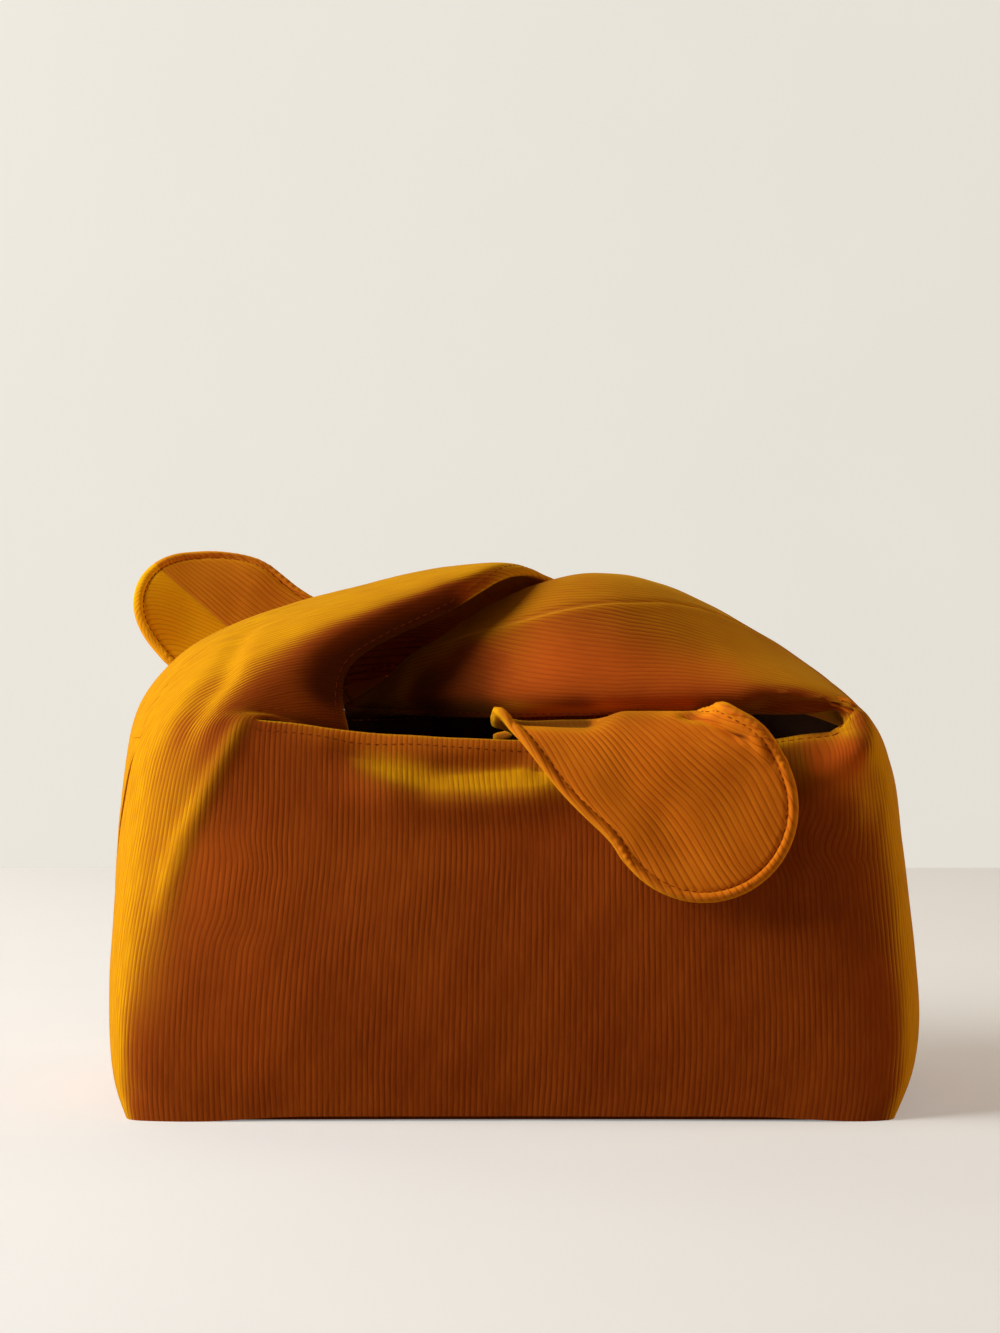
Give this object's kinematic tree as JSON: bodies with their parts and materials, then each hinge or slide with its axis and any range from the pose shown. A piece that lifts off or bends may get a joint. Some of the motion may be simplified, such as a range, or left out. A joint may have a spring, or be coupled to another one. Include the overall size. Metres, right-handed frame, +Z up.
{
  "type": "cosmetic bag",
  "caption": "Boxed corduroy cosmetic bag whose long rounded ties cross in a soft half knot over the open mouth.",
  "frame": {"origin": "centre of the underside of the flat base", "axes": "+Z up, +X to the right of the pictured front, +Y from the front to the back"},
  "size_m": [0.2914, 0.1765, 0.1939],
  "materials": {
    "corduroy": "fine-wale cotton corduroy, ochre brown with a velvety sheen",
    "facing_corduroy": "the same fine-wale corduroy, on the inner side of the ties",
    "lining_twill": "plain matt brown cotton twill",
    "base_board": "matt grey sheet board"
  },
  "bodies": {
    "bag_body": {"outer_front": "corduroy", "outer_back": "corduroy", "outer_base": "corduroy", "lining_front": "lining_twill", "lining_back": "lining_twill", "lining_base": "lining_twill", "base_board": "base_board", "left_strap_front": "corduroy", "left_strap_back": "corduroy", "left_strap_facing": "facing_corduroy", "right_strap_front": "corduroy", "right_strap_back": "corduroy", "right_strap_facing": "facing_corduroy"},
    "front_tab": {"front_tab_outer_upper": "corduroy", "front_tab_outer_lower": "corduroy", "front_tab_facing": "facing_corduroy"},
    "rear_tab": {"rear_tab_outer_lower": "corduroy", "rear_tab_outer_upper": "corduroy", "rear_tab_facing": "facing_corduroy"}
  },
  "joints": [
    {"name": "front_tab_fold", "type": "hinge", "parent": "bag_body", "child": "front_tab", "pos_m": [0.03133, -0.06095, 0.14191], "axis": [-1, 0, 0], "range_deg": [0, 100]},
    {"name": "rear_tab_fold", "type": "hinge", "parent": "bag_body", "child": "rear_tab", "pos_m": [-0.04792, 0.06508, 0.14423], "axis": [-0.908, -0.404, -0.1106], "range_deg": [-15, 30], "stiffness_Nm_per_rad": 0.15}
  ]
}
